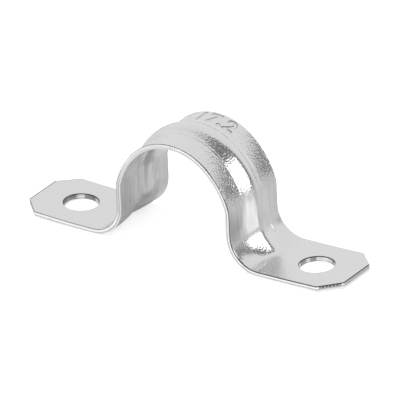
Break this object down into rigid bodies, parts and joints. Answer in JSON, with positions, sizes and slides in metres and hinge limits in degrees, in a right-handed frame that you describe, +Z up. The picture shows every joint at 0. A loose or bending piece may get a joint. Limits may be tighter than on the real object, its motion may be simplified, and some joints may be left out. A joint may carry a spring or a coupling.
{
  "type": "omega clamp",
  "caption": "Two-hole omega clamp of pressed zinc-plated steel sheet, with a raised bead over the saddle, for fixing a small pipe to a flat surface.",
  "frame": {"origin": "middle of the footprint, on the plane that the feet are screwed down to", "axes": "+X along the strap from foot to foot, +Y across it along the pipe, +Z up away from the wall"},
  "size_m": [0.053, 0.012, 0.0177],
  "materials": {
    "zinc_plated_steel": "bright zinc plating on pressed sheet, fine matt grain with faint drag marks from the die"
  },
  "bodies": {
    "root": {"strap": "zinc_plated_steel"}
  },
  "joints": []
}
